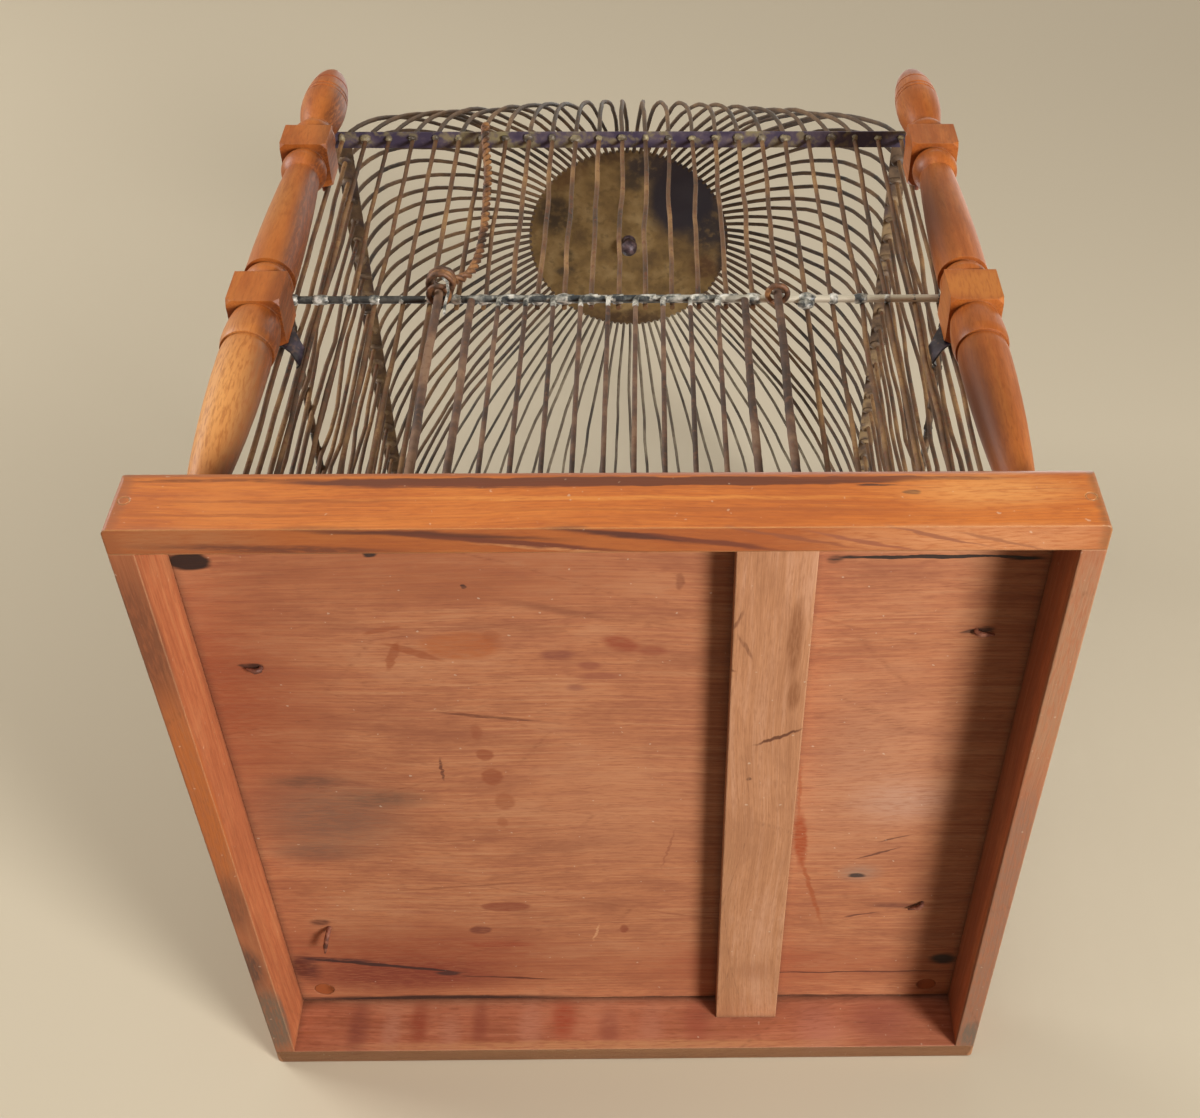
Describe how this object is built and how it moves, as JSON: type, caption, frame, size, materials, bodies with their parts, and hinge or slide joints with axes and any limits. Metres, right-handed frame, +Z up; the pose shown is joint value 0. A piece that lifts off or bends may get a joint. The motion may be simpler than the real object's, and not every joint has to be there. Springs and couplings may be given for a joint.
{
  "type": "bird cage",
  "caption": "Square wire bird cage with a domed wire top and tin crown, on a varnished wood base with turned corner posts, a door that slides up and a hanging ring.",
  "frame": {"origin": "centre of the base's outline, on the plane that the rails stand on", "axes": "+Z up, -Y towards the door side, +X to the right seen from the door side"},
  "size_m": [0.33, 0.339, 0.4686],
  "materials": {
    "post_varnish": "satin varnish",
    "rail_varnish": "worn varnish",
    "floor_wood": "bare",
    "batten_wood": "bare",
    "nail_iron": "rusty",
    "rusty_wire": "rusty",
    "dark_bar": "soldered",
    "band_paint": "flaking paint",
    "tab_tin": "old paint",
    "crown_tin": "tarnished",
    "door_iron": "rusty",
    "tie_iron": "rusty"
  },
  "bodies": {
    "cage": {"batten_nails": "nail_iron", "crown_cap": "crown_tin", "crown_disc": "crown_tin", "crown_hanger": "crown_tin", "floor_batten": "batten_wood", "floor_board": "floor_wood", "floor_nails": "nail_iron", "front_dome_wires": "rusty_wire", "front_rail": "rail_varnish", "front_upper_wires": "rusty_wire", "front_wall_wires": "rusty_wire", "guide_eye_left": "tie_iron", "guide_eye_right": "tie_iron", "left_dome_wires": "rusty_wire", "left_rail": "rail_varnish", "left_wall_wires": "rusty_wire", "mid_bar_front": "dark_bar", "mid_bar_left": "dark_bar", "mid_bar_rear": "dark_bar", "mid_bar_right": "dark_bar", "mid_tabs": "tab_tin", "post_front_left": "post_varnish", "post_front_right": "post_varnish", "post_rear_left": "post_varnish", "post_rear_right": "post_varnish", "rail_nails": "nail_iron", "rear_dome_wires": "rusty_wire", "rear_rail": "rail_varnish", "rear_wall_wires": "rusty_wire", "right_dome_wires": "rusty_wire", "right_rail": "rail_varnish", "right_wall_wires": "rusty_wire", "tie_coil": "tie_iron", "tie_tail": "tie_iron", "top_band_front": "band_paint", "top_band_left": "band_paint", "top_band_rear": "band_paint", "top_band_right": "band_paint", "upper_pins": "nail_iron"},
    "door": {"door_guide_rod_left": "door_iron", "door_guide_rod_right": "door_iron", "door_side_rod_left": "door_iron", "door_side_rod_right": "door_iron", "door_wires": "door_iron", "door_top_rail": "door_iron", "door_bottom_bar": "door_iron", "door_runner_left": "door_iron", "door_runner_right": "door_iron"},
    "hanging_ring": {"hanging_ring": "tie_iron"}
  },
  "joints": [
    {"name": "door_slide", "type": "slide", "parent": "cage", "child": "door", "axis": [0, 0, 1], "range_m": [0, 0.12]},
    {"name": "ring_swing", "type": "hinge", "parent": "cage", "child": "hanging_ring", "pos_m": [0, 0, 0.4642], "axis": [1, 0, 0], "range_deg": [0, 150]}
  ]
}
